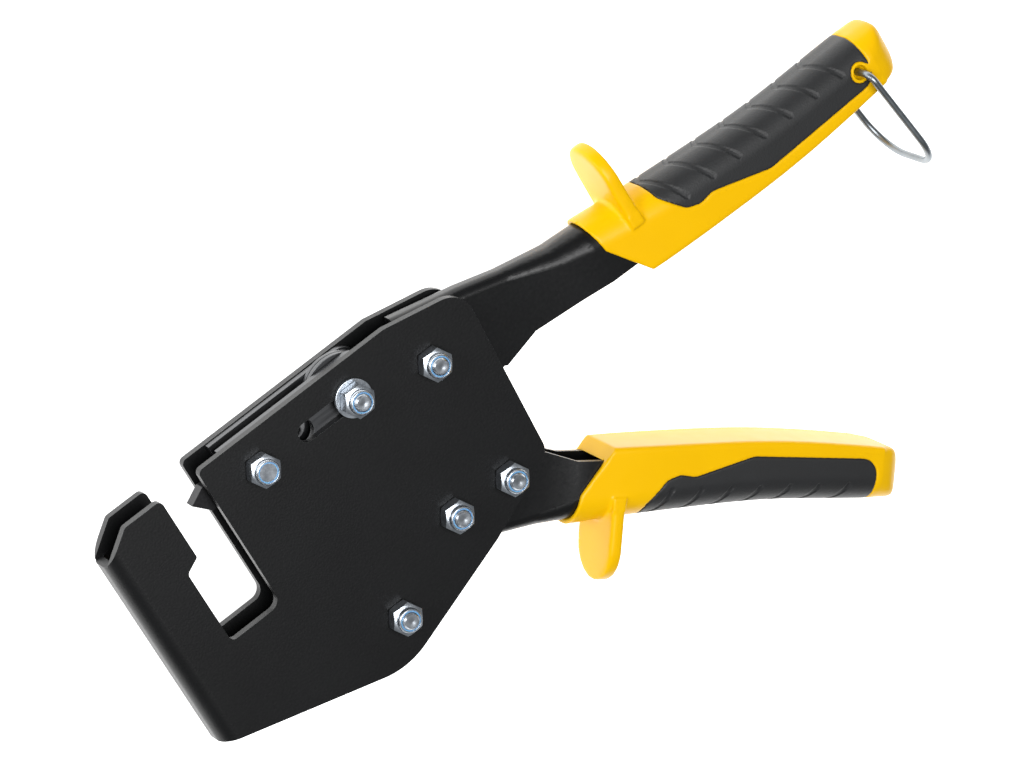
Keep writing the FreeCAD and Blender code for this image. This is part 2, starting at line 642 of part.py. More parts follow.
def make_lever_arm():
    """Lever: a folded channel whose two walls run on into cheeks with the knee's lobes."""
    outer, inner = make_channel("LeverArm", LEVER_STATIONS)
    corners = [
        ("-3", "15"), ("-10", "7"), ("-10.5", "-4"), (f"{KNEE_X} - 6.5", f"{KNEE_Y} + 2.6"),
        (f"{KNEE_X} + 1.5", f"{KNEE_Y} - 6.8"), ("12", "-21"), ("22", "-18"), ("22", "8"),
        ("10", "11")]
    parts = []
    for side, low, high in (("Near", WALL_LOW, WALL_HIGH),
                            ("Far", f"-{WALL_HIGH}", f"-{WALL_LOW}")):
        parts.append(plate(f"Cheek{side}", corners, low, high))
        parts.append(rod(f"Lobe{side}", "knee_lobe", low, high, KNEE_X, KNEE_Y))
    whole = fuse("LeverWhole", cut("LeverChannel", outer, inner), *parts)
    return cut("LeverArm", whole,
               rod("LeverBore", "bush_radius + running_play", "-arm_width", "arm_width"),
               rod("KneeBore", "knee_pin_radius", "-arm_width", "arm_width", KNEE_X,
                   KNEE_Y)), outer


def fixed_local(x, y):
    """Design place of a bolt in the fixed handle's own axes."""
    run, rise = f"({x} - fixed_grip_x)", f"({y} - fixed_grip_y)"
    turn = "fixed_grip_angle"
    return (f"({run} * cos({turn}) + {rise} * sin({turn}))",
            f"({run} * sin({turn}) - {rise} * cos({turn}))")


def make_fixed_arm():
    """Fixed arm: a folded channel clamped between the cheeks by the two rear bolts."""
    outer, inner = make_channel("FixedArm", FIXED_STATIONS)
    bores = [rod(f"FixedBore{k}", "bolt_radius", "-head_gap", "head_gap",
                 *fixed_local(*spot)) for k, spot in enumerate((REAR_UPPER, REAR_LOWER))]
    return cut("FixedArm", outer, inner, *bores), outer


# ---- grips --------------------------------------------------------------------------------

GRIP_STATIONS = (
    ("-24", "collar_width", "0", "collar_high_o + 0.4", "9.6"),
    ("-8", "collar_width + 0.6", "-grip_belly * 0.3", "collar_high_o - 1.2", "9.8"),
    ("6", "grip_width - 0.6", "-grip_belly * 0.6", "grip_root", "10"),
    ("30", "grip_width", "-grip_belly", "grip_root - 2.1", "10"),
    ("57", "grip_width", "-grip_belly", "grip_waist", "9.6"),
    ("80", "grip_width", "-grip_belly * 0.1", "grip_waist + 0.3", "9.6"),
    ("98", "grip_width", "grip_heel", "grip_tail", "9.6"),
    ("grip_length + 5", "grip_width - 1", "grip_heel + 2", "grip_tail", "9"),
)
PAD_OUTLINE = (
    ("5", "40"), ("9", "19"), ("15.5", "10.5"), ("20.5", "8.8"), ("26", "9.7"),
    ("47.5", "3.3"), ("95", "5.4"), ("95", "40"))
PAD_ROUNDS = ((2, "5"), (3, "3"), (4, "5"), (5, "8"), (6, "6"))


def make_grip(name, arm_outer, eyed):
    """Moulded grip in its own axes: the hard shell with its guard, and the soft pad."""
    form = loft(name + "Form", [
        d_section(f"{name}Form{k}", place, width, low, high, "1.6", bend)
        for k, (place, width, low, high, bend) in enumerate(GRIP_STATIONS)], straight=False)
    core = loft(name + "Core", [
        d_section(f"{name}Core{k}", place, f"{width} - 2 * pad_thick", f"{low} - 1",
                  f"{high} - pad_thick", "0.5", f"{bend} - pad_thick")
        for k, (place, width, low, high, bend) in enumerate(GRIP_STATIONS)], straight=False)
    side = plate(
        name + "Side",
        [("mouth_low + 2.8", "-4"), ("mouth_a", "mouth_o"), ("collar_front", "40"),
         ("grip_length - 6", "40"), ("grip_length", "grip_end_high"),
         ("grip_length", "grip_end_low"), ("grip_length - 9", "-4")],
        "-grip_width", "grip_width",
        rounds=((4, "grip_nose_round"), (5, "grip_nose_round")))
    plan = doc.addObject("PartDesign::Body", name + "Plan")
    plan_outline = start_sketch(plan, name + "PlanOutline", role="XZ_Plane")
    draw_outline(plan_outline, [
        ("-40", "-grip_width / 2"), ("grip_length", "-grip_width / 2"),
        ("grip_length", "grip_width / 2"), ("-40", "grip_width / 2")])
    pad(plan, plan_outline, "200", both_ways=True)
    round_edges(plan, name + "PlanRound", "grip_end_round", end_edges("grip_length"))
    body = common(name + "Body", form, side, plan)
    soft = common(name + "SoftZone", body, plate(
        name + "PadForm", list(PAD_OUTLINE), "-grip_width", "grip_width",
        rounds=PAD_ROUNDS))
    takes = [core]
    if eyed:
        takes.append(rod(name + "EyeRing", "eye_ring", "-grip_width", "grip_width",
                         "eye_a", "eye_o"))
    soft_pad = cut(name + "Pad", soft, *takes)
    fin_round = "fin_width / 2"
    blade = doc.addObject("Part::Box", name + "Blade")
    bind(blade, "Length", "fin_thick")
    bind(blade, "Width", f"fin_top - {fin_round} - grip_waist + 4")
    bind(blade, "Height", "fin_width")
    put(blade, "fin_a - fin_thick / 2", "grip_waist - 4", "-fin_width / 2")
    tip = doc.addObject("Part::Cylinder", name + "Tip")
    tip.Placement.Rotation = FreeCAD.Rotation(Y, 90)
    bind(tip, "Radius", fin_round)
    bind(tip, "Height", "fin_thick")
    put(tip, "fin_a - fin_thick / 2", f"fin_top - {fin_round}", "0")
    shell_takes = [soft_pad, arm_outer]
    if eyed:
        reach = "grip_width / 2 - bail_reach_in - eye_play"
        for end, sign in (("Near", ""), ("Far", "-")):
            deep = "grip_width / 2 - eye_mouth_deep"
            spans = ((reach, "grip_width", "bail_wire / 2 + eye_play"),
                     (deep, "grip_width", "eye_mouth"))
            for k, (low, high, radius) in enumerate(spans):
                if sign:
                    low, high = f"-({high})", f"-({low})"
                shell_takes.append(
                    rod(f"{name}Eye{end}{k}", radius, low, high, "eye_a", "eye_o"))
    shell = cut(name + "Shell", fuse(name + "Whole", body, blade, tip), *shell_takes)
    return shell, group(name + "PadPiece", soft_pad)


def end_edges(x):
    """Test for the upright edges at a body's end plane, along Y."""
    place = number(x)

    def test(edge):
        ends = [v.Point for v in edge.Vertexes]
        return (len(ends) == 2 and all(abs(p.x - place) < 0.01 for p in ends)
                and abs(ends[0].z - ends[1].z) < 0.01)
    return test


lever_arm, lever_outer = make_lever_arm()
subpart(lever_arm, "lever_arm")
knee_pin = rod("KneePinRod", "knee_pin_radius", f"-{WALL_HIGH}", WALL_HIGH, KNEE_X, KNEE_Y)
subpart(group("KneePin", knee_pin), "knee_pin")
fixed_arm, fixed_outer = make_fixed_arm()
FIXED_PLACE = ("fixed_grip_x", "fixed_grip_y", "fixed_grip_angle")
LEVER_PLACE = ("lever_grip_x", "lever_grip_y")
subpart(fixed_arm, "fixed_arm", *FIXED_PLACE)
subpart(group("ArmSpacers", *(
    tube(f"ArmSpacer{k}", "spacer_radius", "-head_gap / 2 + arm_sheet",
         "head_gap / 2 - arm_sheet", *spot)
    for k, spot in enumerate((REAR_UPPER, REAR_LOWER)))), "arm_spacers")

# ---- grips --------------------------------------------------------------------------------

arm_in_grip = put(group("LeverArmInGrip", lever_outer), "-lever_grip_x", "-lever_grip_y")
lever_shell, lever_pad = make_grip("LeverGrip", arm_in_grip, eyed=True)
subpart(lever_shell, "lever_grip_shell", *LEVER_PLACE)
subpart(lever_pad, "lever_grip_pad", *LEVER_PLACE)
fixed_shell, fixed_pad = make_grip("FixedGrip", fixed_outer, eyed=False)
subpart(fixed_shell, "fixed_grip_shell", *FIXED_PLACE)
subpart(fixed_pad, "fixed_grip_pad", *FIXED_PLACE)

# ---- return spring ------------------------------------------------------------------------

COIL_SWEEP = "(rest_angle - press_angle - 180 + 360 * coil_turns)"
COIL_HIGH = f"(coil_pitch * {COIL_SWEEP} / 360)"


def spring_leg(name, length, start, height, direction):
    """Straight end of the spring, leaving the coil along its tangent."""
    leg = doc.addObject("Part::Cylinder", name)
    bind(leg, "Radius", "spring_wire / 2")
    bind(leg, "Height", length)
    place = f"vector(coil_mean * cos({start}); coil_mean * sin({start}); {height})"
    bind(leg, "Placement", f"placement({place}; rotationz({direction}) * rotationy(90))")
    return leg


def make_spring():
    """Torsion spring round the bush: one leg rests on a spacer, one presses the lever."""
    helix = doc.addObject("Part::Helix", "CoilLine")
    bind(helix, "Pitch", "coil_pitch")
    bind(helix, "Height", COIL_HIGH)
    bind(helix, "Radius", "coil_mean")
    wire = doc.addObject("Part::Circle", "CoilWire")
    bind(wire, "Radius", "spring_wire / 2")
    wire.Placement.Rotation = FreeCAD.Rotation(X, 90)
    bind(wire, "Placement.Base.x", "coil_mean")
    coil = doc.addObject("Part::Sweep", "Coil")
    coil.Sections = [wire]
    coil.Spine = (helix, ["Edge1"])
    coil.Solid = True
    coil.Frenet = True
    place = f"vector(0; 0; -{COIL_HIGH} / 2)"
    bind(coil, "Placement", f"placement({place}; rotationz(press_angle + 90))")
    return fuse("ReturnSpring", coil,
                spring_leg("PressLeg", "press_leg", "press_angle + 90",
                           f"-{COIL_HIGH} / 2", "press_angle"),
                spring_leg("RestLeg", "rest_leg", "rest_angle - 90",
                           f"{COIL_HIGH} / 2", "rest_angle"))


subpart(make_spring(), "return_spring")

# ---- bail ---------------------------------------------------------------------------------


def straight(name, length, x, z, upright):
    """Straight run of the bail's wire, along Z or along the bail."""
    run = doc.addObject("Part::Cylinder", name)
    if not upright:
        run.Placement.Rotation = FreeCAD.Rotation(Y, 90)
    bind(run, "Radius", "bail_wire / 2")
    bind(run, "Height", length)
    return put(run, x, "0", z)


def bend(name, radius, x, z, start):
    """Quarter turn of the bail's wire, in the loop's own plane."""
    turn = doc.addObject("Part::Torus", name)
    turn.Placement.Rotation = FreeCAD.Rotation(Y, start) * FreeCAD.Rotation(X, -90)
    turn.Angle3 = 90
    bind(turn, "Radius1", radius)
    bind(turn, "Radius2", "bail_wire / 2")
    return put(turn, x, "0", z)


def make_bail():
    """Wire loop: two short ends in the grip's eyes, two legs and a rounded foot."""
    half, stub = "bail_spread / 2", "grip_width / 2 - bail_reach_in"
    leg = "bail_length - bail_elbow - bail_round"
    foot = "bail_length - bail_round"
    corner = "bail_spread / 2 - bail_round"
    return fuse(
        "Bail",
        straight("StubNear", f"{half} - bail_elbow - ({stub})", "0", stub, True),
        straight("StubFar", f"{half} - bail_elbow - ({stub})", "0",
                 f"-{half} + bail_elbow", True),
        bend("ElbowNear", "bail_elbow", "bail_elbow", f"{half} - bail_elbow", 180),
        bend("ElbowFar", "bail_elbow", "bail_elbow", f"-{half} + bail_elbow", 90),
        straight("LegNear", leg, "bail_elbow", half, False),
        straight("LegFar", leg, "bail_elbow", f"-{half}", False),
        bend("FootNear", "bail_round", foot, corner, 270),
        bend("FootFar", "bail_round", foot, f"-({corner})", 0),
        straight("Foot", f"2 * ({corner})", "bail_length", f"-({corner})", True))


subpart(make_bail(), "bail", "lever_grip_x + eye_a", "lever_grip_y + eye_o", "bail_angle")

# ---- finished pieces ----------------------------------------------------------------------

doc.recompute()
for thing in doc.Objects:
    if "Invalid" in thing.State or "Error" in thing.State:
        raise RuntimeError(f"{thing.Name} can't be worked out")
for thing in subparts:
    if thing.Shape.isNull() or not thing.Shape.isValid() or not thing.Shape.Solids:
        raise RuntimeError(f"{thing.Label} has no sound shape")
os.makedirs("parts", exist_ok=True)
for thing in subparts:
    thing.Shape.exportStep(f"parts/{thing.Label}.step")
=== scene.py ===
import math

import bmesh
import bpy
from mathutils import Matrix, Vector


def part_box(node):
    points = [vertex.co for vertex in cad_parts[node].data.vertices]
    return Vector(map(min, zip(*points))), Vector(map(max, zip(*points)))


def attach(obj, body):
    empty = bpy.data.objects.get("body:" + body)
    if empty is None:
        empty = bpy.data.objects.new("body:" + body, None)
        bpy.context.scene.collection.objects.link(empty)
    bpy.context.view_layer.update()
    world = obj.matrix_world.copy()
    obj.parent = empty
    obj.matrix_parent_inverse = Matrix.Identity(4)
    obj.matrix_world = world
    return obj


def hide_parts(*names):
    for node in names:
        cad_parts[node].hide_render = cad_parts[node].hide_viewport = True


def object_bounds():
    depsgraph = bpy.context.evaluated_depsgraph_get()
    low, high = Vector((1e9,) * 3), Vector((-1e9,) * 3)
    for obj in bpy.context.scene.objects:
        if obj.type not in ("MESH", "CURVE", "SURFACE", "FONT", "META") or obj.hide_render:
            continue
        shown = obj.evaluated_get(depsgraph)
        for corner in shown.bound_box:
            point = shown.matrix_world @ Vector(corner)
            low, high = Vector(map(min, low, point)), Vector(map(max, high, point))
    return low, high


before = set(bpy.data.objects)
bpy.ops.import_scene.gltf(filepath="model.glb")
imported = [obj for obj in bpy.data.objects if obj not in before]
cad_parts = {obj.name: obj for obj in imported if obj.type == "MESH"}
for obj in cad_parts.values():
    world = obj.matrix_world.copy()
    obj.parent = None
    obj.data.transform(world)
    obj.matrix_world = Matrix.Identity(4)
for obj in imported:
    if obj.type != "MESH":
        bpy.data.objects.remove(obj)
cad_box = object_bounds()

# Table and studio. The plier lies on its side on a pale matt table top, under two large soft
# lamps and a pale room, the way a small tool is laid out for a catalogue.
table_side = 6.0
table_drop = 0.0004


def colour(hex_code):
    """sRGB hex colour as linear red, green, blue and full alpha."""
    parts = [int(hex_code[k:k + 2], 16) / 255 for k in (1, 3, 5)]
    return [p / 12.92 if p <= 0.04045 else ((p + 0.055) / 1.055) ** 2.4 for p in parts] + [1.0]


def add(tree, kind, settings=None, **links):
    """Add a node, set its properties and sockets, and link the sockets named."""
    node = tree.nodes.new("ShaderNode" + kind)
    for key, value in (settings or {}).items():
        if hasattr(node, key):
            setattr(node, key, value)
        else:
            node.inputs[key].default_value = value
    for key, source in links.items():
        tree.links.new(source, node.inputs[key.replace("_", " ")])
    return node


def new_finish(name, **surface):
    """Start a material: its node tree, its shader and its object-space coordinates."""
    finish = bpy.data.materials.new(name)
    finish.use_nodes = True
    tree = finish.node_tree
    shader = tree.nodes["Principled BSDF"]
    for key, value in surface.items():
        shader.inputs[key.replace("_", " ")].default_value = value
    place = add(tree, "TexCoord").outputs["Object"]
    return finish, tree, shader, place


def per_mm(size_mm):
    """Noise scale whose grains are about this many millimetres across."""
    return 1000.0 / size_mm


# Painted board: a very light matt face with a faint mottle.
painted_board, tree, shader, place = new_finish(
    "painted_board", Roughness=0.8, Emission_Color=colour("#FFFFFF"), Emission_Strength=1.15)
mottle = add(tree, "TexNoise", {"Scale": 6.0, "Detail": 3.0}, Vector=place)
tint = add(tree, "MixRGB", {"Color1": colour("#F3F3F2"), "Color2": colour("#F7F7F6")},
           Fac=mottle.outputs["Fac"])
tree.links.new(tint.outputs["Color"], shader.inputs["Base Color"])
table_mesh = bpy.data.meshes.new("table_top")
half = table_side / 2
table_mesh.from_pydata(
    [(-half, -half, 0), (half, -half, 0), (half, half, 0), (-half, half, 0)], [],
    [(0, 1, 2, 3)])
table_top = bpy.data.objects.new("table_top", table_mesh)
table_top.location.z = cad_box[0][2] - table_drop
table_mesh.materials.append(painted_board)
bpy.context.collection.objects.link(table_top)

world = bpy.data.worlds.new("pale_room")
world.use_nodes = True
world.node_tree.nodes["Background"].inputs["Color"].default_value = colour("#F4F6F8")
world.node_tree.nodes["Background"].inputs["Strength"].default_value = 0.2
bpy.context.scene.world = world


def soft_lamp(name, spot, aim, size, watts):
    """Large square lamp pointed at a spot."""
    lamp = bpy.data.lights.new(name, "AREA")
    lamp.shape, lamp.size, lamp.energy = "SQUARE", size, watts
    holder = bpy.data.objects.new(name, lamp)
    holder.location = spot
    holder.rotation_euler = (Vector(aim) - Vector(spot)).to_track_quat("-Z", "Y").to_euler()
    bpy.context.collection.objects.link(holder)


soft_lamp("lamp_over", (-0.1, 0.25, 1.2), (0.0, 0.0, 0.0), 0.7, 15.0)
soft_lamp("lamp_side", (-0.9, 0.9, 0.6), (0.0, 0.0, 0.0), 0.5, 8.0)
# Colours are shown as painted, so the yellow stays as strong as the real plastic.
bpy.context.scene.view_settings.view_transform = "Standard"

# Camera: a long lens high above the jaw end, rolled so that the handles rise to the right.
camera_place = Vector((-0.4069, 0.7198, 1.4306))
camera_target = Vector((-0.0117, 0.0329, 0.0192))
camera_up = Vector((0.5953, 0.7754, -0.2107))
camera_lens = 175.8
ahead = (camera_target - camera_place).normalized()
across = ahead.cross(camera_up).normalized()
above = across.cross(ahead)
camera = bpy.data.objects.new("camera", bpy.data.cameras.new("camera"))
camera.data.lens = camera_lens
camera.data.clip_end = 20.0
turn = Matrix((across, above, -ahead)).transposed().to_4x4()
camera.matrix_world = Matrix.Translation(camera_place) @ turn
bpy.context.collection.objects.link(camera)
bpy.context.scene.camera = camera

# Head. One 3 mm steel blank, stamped and folded double round the front of the jaw, then
# powder coated black. Its stamped edges are rounded and painted paler grey: a painted
# highlight.
pivot = (Vector(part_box("pivot_nut")[0]) + Vector(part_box("pivot_nut")[1])) / 2
pivot.z = (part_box("head_frame")[0][2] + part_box("head_frame")[1][2]) / 2
head_edge = 0.35


def from_pivot(x, y, z=0.0):
    """Point given in millimetres from the pivot, on the head's middle plane."""
    return pivot + Vector((x, y, z)) / 1000


def show(name, work, materials, body, stands_for, flat_faces=True):
    mesh = bpy.data.meshes.new(name)
    work.to_mesh(mesh)
    work.free()
    for material in materials:
        mesh.materials.append(material)
    mesh.shade_smooth()
    mesh.set_sharp_from_angle(angle=math.radians(50))
    piece = bpy.data.objects.new(name, mesh)
    bpy.context.collection.objects.link(piece)
    if flat_faces:
        piece.modifiers.new("flat_faces", "WEIGHTED_NORMAL").keep_sharp = True
    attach(piece, body)
    for node in stands_for:
        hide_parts(node)
    return piece


def copy_of(node):
    """Working copy of a CAD piece's mesh, joined up and with its flat faces whole."""
    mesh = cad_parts[node].data.copy()
    if "custom_normal" in mesh.attributes:
        mesh.attributes.remove(mesh.attributes["custom_normal"])
    work = bmesh.new()
    work.from_mesh(mesh)
    bpy.data.meshes.remove(mesh)
    bmesh.ops.remove_doubles(work, verts=work.verts, dist=2e-6)
    bmesh.ops.dissolve_limit(work, angle_limit=math.radians(0.4), verts=work.verts,
                             edges=work.edges)
    for face in work.faces:
        face.material_index = 0
    return work


def break_edges(work, width_mm, rim_material=0, sharper_than=28):
    """Round off every sharp edge of a working mesh, and give the rounding a material."""
    sharp = [e for e in work.edges if len(e.link_faces) == 2
             and e.calc_face_angle(0) > math.radians(sharper_than)]
    made = bmesh.ops.bevel(work, geom=sharp, offset=width_mm / 1000, segments=2,
                           profile=0.6, affect="EDGES", clamp_overlap=True)
    for face in made["faces"]:
        face.material_index = rim_material
    return work


# Powder coat: black thermoset polyester baked on, satin, with a fine orange-peel grain.
powder_coat, tree, shader, place = new_finish(
    "powder_coat_black", Roughness=0.38, IOR=1.5, Specular_IOR_Level=0.28)
cloud = add(tree, "TexNoise", {"Scale": per_mm(22), "Detail": 4.0}, Vector=place)
tint = add(tree, "MixRGB", {"Color1": colour("#0B0B0C"), "Color2": colour("#121314")},
           Fac=cloud.outputs["Fac"])
grain = add(tree, "TexNoise", {"Scale": per_mm(0.7), "Detail": 2.0}, Vector=place)
gloss = add(tree, "MapRange", {"To Min": 0.31, "To Max": 0.46}, Value=grain.outputs["Fac"])
peel = add(tree, "Bump", {"Strength": 0.22, "Distance": 0.0002}, Height=grain.outputs["Fac"])
tree.links.new(tint.outputs["Color"], shader.inputs["Base Color"])
tree.links.new(gloss.outputs["Result"], shader.inputs["Roughness"])
tree.links.new(peel.outputs["Normal"], shader.inputs["Normal"])

# Painted highlight on the rounded edges: dark grey, lighter grey in patches, painted for the
# light the edges catch.
edge_highlight_paint, tree, shader, place = new_finish(
    "painted_edge_highlight", Metallic=0.25, Roughness=0.35, IOR=1.5)
highlight_patches = add(tree, "TexNoise", {"Scale": per_mm(5), "Detail": 5.0, "Roughness": 0.65},
          Vector=place)
spread = add(tree, "MapRange", {"From Min": 0.42, "From Max": 0.68}, Value=highlight_patches.outputs["Fac"])
tint = add(tree, "MixRGB", {"Color1": colour("#26272A"), "Color2": colour("#7C7E82")},
           Fac=spread.outputs["Result"])
tree.links.new(tint.outputs["Color"], shader.inputs["Base Color"])

# The head's rounded edges take the painted edge highlight.
show("folded_head", break_edges(copy_of("head_frame"), head_edge, 1),
     [powder_coat, edge_highlight_paint], "head", ["head_frame"])

# Slide. Two flat steel bars run side by side against the inside of the cheeks, with the
# punch riveted between their noses. They are left as rolled, oiled and dark.
bar_edge = 0.25

# Oiled rolled steel: dark grey with lengthwise rolling streaks under a film of oil.
oiled_steel, tree, shader, place = new_finish(
    "oiled_rolled_steel", Metallic=0.9, Roughness=0.34)
stretch = add(tree, "Mapping", {"Scale": (60, 900, 900)}, Vector=place)
streak = add(tree, "TexNoise", {"Scale": 1.0, "Detail": 4.0}, Vector=stretch.outputs["Vector"])
tint = add(tree, "MixRGB", {"Color1": colour("#3A3B3D"), "Color2": colour("#5E5F61")},
           Fac=streak.outputs["Fac"])
gloss = add(tree, "MapRange", {"To Min": 0.24, "To Max": 0.46}, Value=streak.outputs["Fac"])
tree.links.new(tint.outputs["Color"], shader.inputs["Base Color"])
tree.links.new(gloss.outputs["Result"], shader.inputs["Roughness"])

# Blackened tool steel: hardened, oil-blacked, with a fine ground grain.
black_tool_steel, tree, shader, place = new_finish(
    "blackened_tool_steel", Metallic=0.85, Roughness=0.4)
ground = add(tree, "TexNoise", {"Scale": per_mm(0.9), "Detail": 3.0}, Vector=place)
tint = add(tree, "MixRGB", {"Color1": colour("#1B1B1C"), "Color2": colour("#343436")},
           Fac=ground.outputs["Fac"])
tree.links.new(tint.outputs["Color"], shader.inputs["Base Color"])

show("slide_bar_pair", break_edges(copy_of("slide_bars"), bar_edge), [oiled_steel], "slide",
     ["slide_bars"])
show("punch_blade", break_edges(copy_of("punch"), 0.15), [black_tool_steel], "slide",
     ["punch"])
show("rivet_pair", break_edges(copy_of("punch_rivets"), 0.1), [oiled_steel], "slide",
     ["punch_rivets"])

# Knee. Two link plates side by side turn on the slide's bolt and on the pin of the lever's
# lobes. They are stamped from 1.9 mm steel, left as rolled and oiled.
show("link_pair", break_edges(copy_of("knee_links"), 0.25), [oiled_steel], "link",
     ["knee_links"])

# Turned steel parts: the pivot's bush, the slide's guide sleeve, the spacers and the knee
# pin are cut from bright bar on a lathe, which leaves fine rings round them.
bright_bar, tree, shader, place = new_finish("bright_turned_steel", Metallic=1.0, Roughness=0.3)
rings = add(tree, "TexNoise", {"Scale": per_mm(0.6), "Detail": 2.0}, Vector=place)
tint = add(tree, "MixRGB", {"Color1": colour("#8D8E90"), "Color2": colour("#B4B5B7")},
           Fac=rings.outputs["Fac"])
gloss = add(tree, "MapRange", {"To Min": 0.22, "To Max": 0.4}, Value=rings.outputs["Fac"])
tree.links.new(tint.outputs["Color"], shader.inputs["Base Color"])
tree.links.new(gloss.outputs["Result"], shader.inputs["Roughness"])
for node, body in (("pivot_bush", "head"), ("guide_sleeve", "head"), ("chin_spacer", "head"),
                   ("arm_spacers", "head")):
    show("turned_" + node, break_edges(copy_of(node), 0.2), [bright_bar], body, [node])
show("turned_knee_pin", break_edges(copy_of("knee_pin"), 0.3), [bright_bar], "lever",
     ["knee_pin"])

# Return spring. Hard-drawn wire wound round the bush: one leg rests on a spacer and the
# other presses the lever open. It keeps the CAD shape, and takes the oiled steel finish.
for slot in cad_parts["return_spring"].material_slots:
    slot.material = oiled_steel

# Arms. Each is a 2 mm blank pressed into a channel, narrow where it enters the head and
# flared and half round where the grip is moulded on. Painted smooth satin black.
arm_edge = 0.3

# Satin black paint: smoother than the head's coat, with a soft highlight along the fold.
satin_paint, tree, shader, place = new_finish(
    "satin_black_paint", Roughness=0.3, IOR=1.5, Specular_IOR_Level=0.32)
cloud = add(tree, "TexNoise", {"Scale": per_mm(14), "Detail": 3.0}, Vector=place)
tint = add(tree, "MixRGB", {"Color1": colour("#0A0A0B"), "Color2": colour("#111213")},
           Fac=cloud.outputs["Fac"])
grain = add(tree, "TexNoise", {"Scale": per_mm(1.1), "Detail": 2.0}, Vector=place)
gloss = add(tree, "MapRange", {"To Min": 0.24, "To Max": 0.38}, Value=grain.outputs["Fac"])
peel = add(tree, "Bump", {"Strength": 0.12, "Distance": 0.0002}, Height=grain.outputs["Fac"])
tree.links.new(tint.outputs["Color"], shader.inputs["Base Color"])
tree.links.new(gloss.outputs["Result"], shader.inputs["Roughness"])
tree.links.new(peel.outputs["Normal"], shader.inputs["Normal"])
# The arms' rounded edges take the same painted edge highlight.
show("lever_channel", break_edges(copy_of("lever_arm"), arm_edge, 1),
     [satin_paint, edge_highlight_paint], "lever", ["lever_arm"])
show("fixed_channel", break_edges(copy_of("fixed_arm"), arm_edge, 1),
     [satin_paint, edge_highlight_paint], "head", ["fixed_arm"])

# Grips. A hard yellow shell with a thumb guard is moulded over each arm, and a dark soft
# pad is moulded over the shell in a second shot. Every corner has the mould's small radius.
shell_grid, pad_grid = 0.45, 0.34


def moulded(node, grid_mm, smoothing):
    """Copy of a CAD piece with its corners rounded as a mould leaves them."""
    work = copy_of(node)
    mesh = bpy.data.meshes.new(node + "_blank")
    work.to_mesh(mesh)
    work.free()
    blank = bpy.data.objects.new(node + "_blank", mesh)
    bpy.context.collection.objects.link(blank)
    remesh = blank.modifiers.new("grid", "REMESH")
    remesh.mode, remesh.voxel_size = "VOXEL", grid_mm / 1000
    soften = blank.modifiers.new("soften", "SMOOTH")
    soften.iterations, soften.factor = smoothing, 0.5
    bpy.context.view_layer.update()
    shaped = blank.evaluated_get(bpy.context.evaluated_depsgraph_get())
    work = bmesh.new()
    work.from_mesh(shaped.to_mesh())
    shaped.to_mesh_clear()
    bpy.data.objects.remove(blank)
    bpy.data.meshes.remove(mesh)
    return work


lever_axes = Matrix.Translation(from_pivot(83.5, -21))
fixed_axes = (Matrix.Translation(from_pivot(40.2, -66.8))
              @ Matrix.Rotation(math.radians(-36.4), 4, "Z") @ Matrix.Rotation(math.pi, 4, "X"))
groove_count, groove_first, groove_pitch, groove_slant = 7, 17.5, 11.2, 0.4
groove_half, groove_end, groove_deep = 0.95, 14.0, 0.3
pad_flank, groove_stop = 11.5, 92.0
guard_root, guard_front, guard_back, guard_passes = 20.5, -8.0, 5.0, 22
tail_start, tail_passes = 97.5, 70
shell_passes, pad_passes = 7, 3


def on_guard(spot):
    """True for a point of the thumb guard, in the grip's own millimetres."""
    return spot.y > guard_root and guard_front < spot.x < guard_back


def on_tail(spot):
    """True for a point of the grip's tail, where the mould is fully curved."""
    return spot.x > tail_start


def soften(work, axes, chosen, passes):
    """Smooth the chosen part of a shell, as the mould's radii leave it."""
    into = axes.inverted()
    verts = [vert for vert in work.verts if chosen(into @ vert.co * 1000)]
    for _ in range(passes):
        bmesh.ops.smooth_vert(work, verts=verts, factor=0.5, use_axis_x=True,
                              use_axis_y=True, use_axis_z=True)
    return work


def press_grooves(work, axes):
    """Press the pad's slanting grooves, round at their near ends, over the outer side."""
    into = axes.inverted()
    work.normal_update()
    pushes = []
    for vert in work.verts:
        spot = into @ vert.co * 1000
        girth = max(spot.y - groove_end, 0) + max(pad_flank - abs(spot.z), 0)
        along = spot.x - groove_first + groove_slant * girth
        nearest = min(max(round(along / groove_pitch), 0), groove_count - 1)
        away = math.hypot(along - nearest * groove_pitch, max(groove_end - spot.y, 0))
        if away < groove_half and spot.x < groove_stop:
            pushes.append((vert, vert.normal * (-groove_deep / 1000)))
    for vert, push in pushes:
        vert.co += push
    return work


# Yellow moulded ABS: glossy from a polished mould, with a faint warm cloud in the colour.
yellow_abs, tree, shader, place = new_finish(
    "moulded_yellow_abs", Roughness=0.32, IOR=1.53, Specular_IOR_Level=0.16)
cloud = add(tree, "TexNoise", {"Scale": per_mm(18), "Detail": 3.0}, Vector=place)
tint = add(tree, "MixRGB", {"Color1": colour("#E0AC00"), "Color2": colour("#E6B400")},
           Fac=cloud.outputs["Fac"])
grain = add(tree, "TexNoise", {"Scale": per_mm(6), "Detail": 2.0}, Vector=place)
gloss = add(tree, "MapRange", {"To Min": 0.26, "To Max": 0.34}, Value=grain.outputs["Fac"])
tree.links.new(tint.outputs["Color"], shader.inputs["Base Color"])
tree.links.new(gloss.outputs["Result"], shader.inputs["Roughness"])

